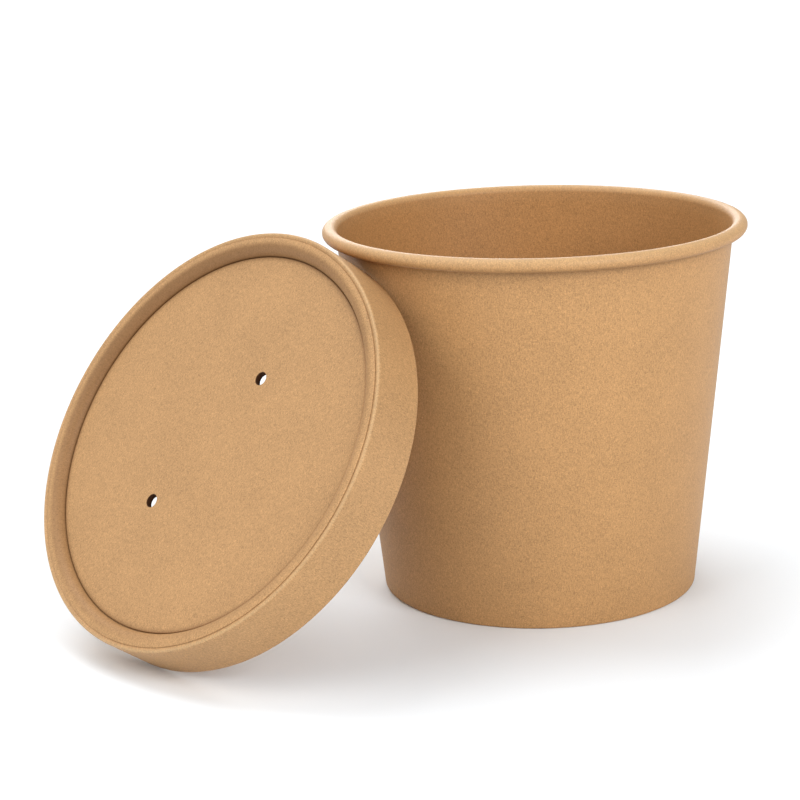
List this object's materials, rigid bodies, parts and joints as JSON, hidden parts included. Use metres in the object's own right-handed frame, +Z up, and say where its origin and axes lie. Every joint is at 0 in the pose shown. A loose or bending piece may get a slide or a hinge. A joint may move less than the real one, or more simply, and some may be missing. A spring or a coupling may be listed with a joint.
{
  "type": "takeaway soup container",
  "caption": "Empty round kraft-paper soup cup with a rolled rim, tapering to its foot, with its recessed paper lid with vent holes leaning against its side.",
  "frame": {"origin": "on the floor, below the middle of the bounding box of the cup and its lid", "axes": "+Z up, the cup's axis is parallel to it; -Y is the front that the picture shows; the lid leans on the cup's front left, towards -X"},
  "size_m": [0.1924, 0.1568, 0.1052],
  "materials": {
    "kraft_cup": "uncoated brown kraft paper, matte",
    "kraft_base": "uncoated brown kraft paper, matte",
    "kraft_lid": "uncoated brown kraft paper, matte",
    "kraft_panel": "uncoated brown kraft paper, matte"
  },
  "bodies": {
    "root": {"cup_wall": "kraft_cup", "cup_base": "kraft_base", "lid_ring": "kraft_lid", "lid_panel": "kraft_panel"}
  },
  "joints": []
}
